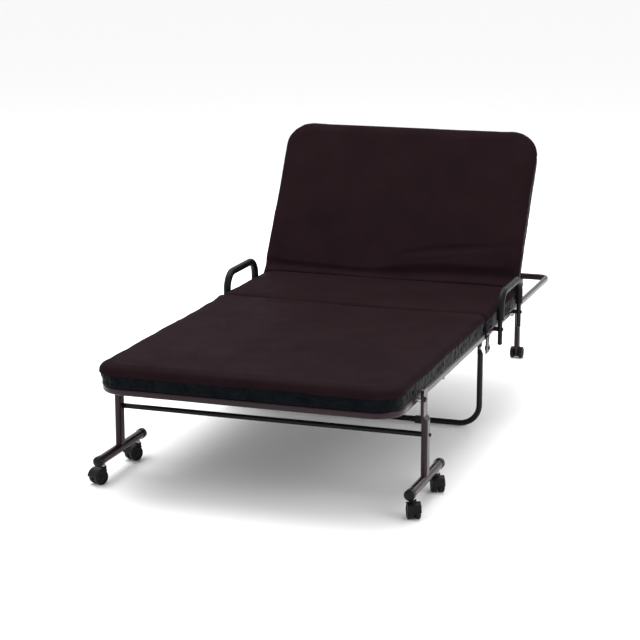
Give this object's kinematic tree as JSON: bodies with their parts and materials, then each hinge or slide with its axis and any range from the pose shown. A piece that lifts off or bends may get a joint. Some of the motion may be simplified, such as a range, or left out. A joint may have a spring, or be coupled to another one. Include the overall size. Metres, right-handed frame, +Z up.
{
  "type": "folding bed",
  "caption": "Folding cot on tube frames with a middle hinge, reclining backrest, casters on the foot stand, a swing-down centre leg and rollers on the head legs.",
  "frame": {"origin": "on the floor under the middle of the cot's plan outline", "axes": "+X to the sleeper's right seen from the foot end, +Y from foot to head, +Z up"},
  "size_m": [0.992, 1.916, 0.8547],
  "materials": {
    "frame_paint": "gloss",
    "black_paint": "gloss",
    "deck_wire": "satin",
    "dark_bolt": "satin",
    "plated_steel": "satin",
    "black_plastic": "gloss",
    "wheel_plastic": "satin",
    "foot_rubber": "matte",
    "grip_foam": "matte",
    "mattress_cover": "matte"
  },
  "bodies": {
    "foot_stand": {"foot_posts": "frame_paint", "foot_skids": "frame_paint", "skid_end_caps": "black_plastic", "foot_crossbar": "black_paint", "crossbar_screws": "dark_bolt", "stand_bolts": "dark_bolt", "caster_sleeves": "plated_steel"},
    "foot_half": {"foot_rail": "frame_paint", "foot_braces": "frame_paint", "foot_deck": "deck_wire", "stand_bushes": "plated_steel", "foot_hinge_plates": "frame_paint", "fold_pins": "dark_bolt", "hinge_rivets": "dark_bolt", "centre_leg_ears": "black_paint", "centre_leg_pins": "dark_bolt", "foot_mattress": "mattress_cover"},
    "centre_leg": {"centre_leg": "black_paint", "centre_leg_pads": "foot_rubber"},
    "head_half": {"head_rail": "frame_paint", "head_braces": "frame_paint", "seat_deck": "deck_wire", "fold_lugs": "frame_paint", "ratchet_plates": "plated_steel", "ratchet_pins": "dark_bolt", "head_leg_ears": "frame_paint", "head_leg_pins": "dark_bolt", "seat_mattress": "mattress_cover", "handle_tubes": "black_paint", "handle_grips": "grip_foam", "handle_spacers": "black_plastic", "handle_bolts": "dark_bolt", "handle_end_plugs": "black_plastic"},
    "backrest": {"backrest_frame": "frame_paint", "backrest_braces": "frame_paint", "backrest_deck": "deck_wire", "ratchet_arms": "plated_steel", "backrest_mattress": "mattress_cover"},
    "head_legs": {"head_legs": "frame_paint", "roller_axles": "plated_steel"},
    "roller_left": {"roller_wheels_left": "wheel_plastic"},
    "roller_right": {"roller_wheels_right": "wheel_plastic"},
    "caster_foot_left": {"caster_hood_foot_left": "black_plastic", "caster_stem_foot_left": "plated_steel"},
    "caster_wheels_foot_left": {"caster_wheels_foot_left": "wheel_plastic", "caster_axle_foot_left": "plated_steel"},
    "caster_foot_right": {"caster_hood_foot_right": "black_plastic", "caster_stem_foot_right": "plated_steel"},
    "caster_wheels_foot_right": {"caster_wheels_foot_right": "wheel_plastic", "caster_axle_foot_right": "plated_steel"},
    "caster_inner_left": {"caster_hood_inner_left": "black_plastic", "caster_stem_inner_left": "plated_steel"},
    "caster_wheels_inner_left": {"caster_wheels_inner_left": "wheel_plastic", "caster_axle_inner_left": "plated_steel"},
    "caster_inner_right": {"caster_hood_inner_right": "black_plastic", "caster_stem_inner_right": "plated_steel"},
    "caster_wheels_inner_right": {"caster_wheels_inner_right": "wheel_plastic", "caster_axle_inner_right": "plated_steel"}
  },
  "joints": [
    {"name": "fold", "type": "hinge", "parent": "foot_stand", "child": "foot_half", "pos_m": [0, -0.743, 0.3], "axis": [1, 0, 0], "range_deg": [0, 90]},
    {"name": "middle_fold", "type": "hinge", "parent": "foot_half", "child": "head_half", "pos_m": [0, 0.04, 0.258], "axis": [1, 0, 0], "range_deg": [-180, 0]},
    {"name": "centre_leg_fold", "type": "hinge", "parent": "foot_half", "child": "centre_leg", "pos_m": [0, 0.022, 0.275], "axis": [1, 0, 0], "range_deg": [-90, 0]},
    {"name": "head_legs_fold", "type": "hinge", "parent": "head_half", "child": "head_legs", "pos_m": [0, 0.938, 0.268], "axis": [1, 0, 0], "range_deg": [-90, 0]},
    {"name": "recline", "type": "hinge", "parent": "head_half", "child": "backrest", "pos_m": [0, 0.449, 0.288], "axis": [1, 0, 0], "range_deg": [-59, 16]},
    {"name": "roller_left_spin", "type": "hinge", "parent": "head_legs", "child": "roller_left", "pos_m": [-0.331, 0.938, 0.02], "axis": [1, 0, 0], "continuous": true},
    {"name": "roller_right_spin", "type": "hinge", "parent": "head_legs", "child": "roller_right", "pos_m": [0.331, 0.938, 0.02], "axis": [1, 0, 0], "continuous": true},
    {"name": "caster_foot_left_swivel", "type": "hinge", "parent": "foot_stand", "child": "caster_foot_left", "pos_m": [-0.461, -0.8555, 0.052], "axis": [0, 0, 1], "continuous": true},
    {"name": "caster_foot_left_spin", "type": "hinge", "parent": "caster_foot_left", "child": "caster_wheels_foot_left", "pos_m": [-0.46819, -0.87091, 0.022], "axis": [0.9063, -0.4226, 0], "continuous": true},
    {"name": "caster_foot_right_swivel", "type": "hinge", "parent": "foot_stand", "child": "caster_foot_right", "pos_m": [0.461, -0.8555, 0.052], "axis": [0, 0, 1], "continuous": true},
    {"name": "caster_foot_right_spin", "type": "hinge", "parent": "caster_foot_right", "child": "caster_wheels_foot_right", "pos_m": [0.46819, -0.87091, 0.022], "axis": [0.9063, 0.4226, 0], "continuous": true},
    {"name": "caster_inner_left_swivel", "type": "hinge", "parent": "foot_stand", "child": "caster_inner_left", "pos_m": [-0.461, -0.6125, 0.052], "axis": [0, 0, 1], "continuous": true},
    {"name": "caster_inner_left_spin", "type": "hinge", "parent": "caster_inner_left", "child": "caster_wheels_inner_left", "pos_m": [-0.46819, -0.62791, 0.022], "axis": [0.9063, -0.4226, 0], "continuous": true},
    {"name": "caster_inner_right_swivel", "type": "hinge", "parent": "foot_stand", "child": "caster_inner_right", "pos_m": [0.461, -0.6125, 0.052], "axis": [0, 0, 1], "continuous": true},
    {"name": "caster_inner_right_spin", "type": "hinge", "parent": "caster_inner_right", "child": "caster_wheels_inner_right", "pos_m": [0.46819, -0.62791, 0.022], "axis": [0.9063, 0.4226, 0], "continuous": true}
  ],
  "couplings": [
    {"joint": "middle_fold", "follows": "fold", "ratio": -2},
    {"joint": "centre_leg_fold", "follows": "fold", "ratio": -1},
    {"joint": "head_legs_fold", "follows": "fold", "ratio": -1}
  ]
}
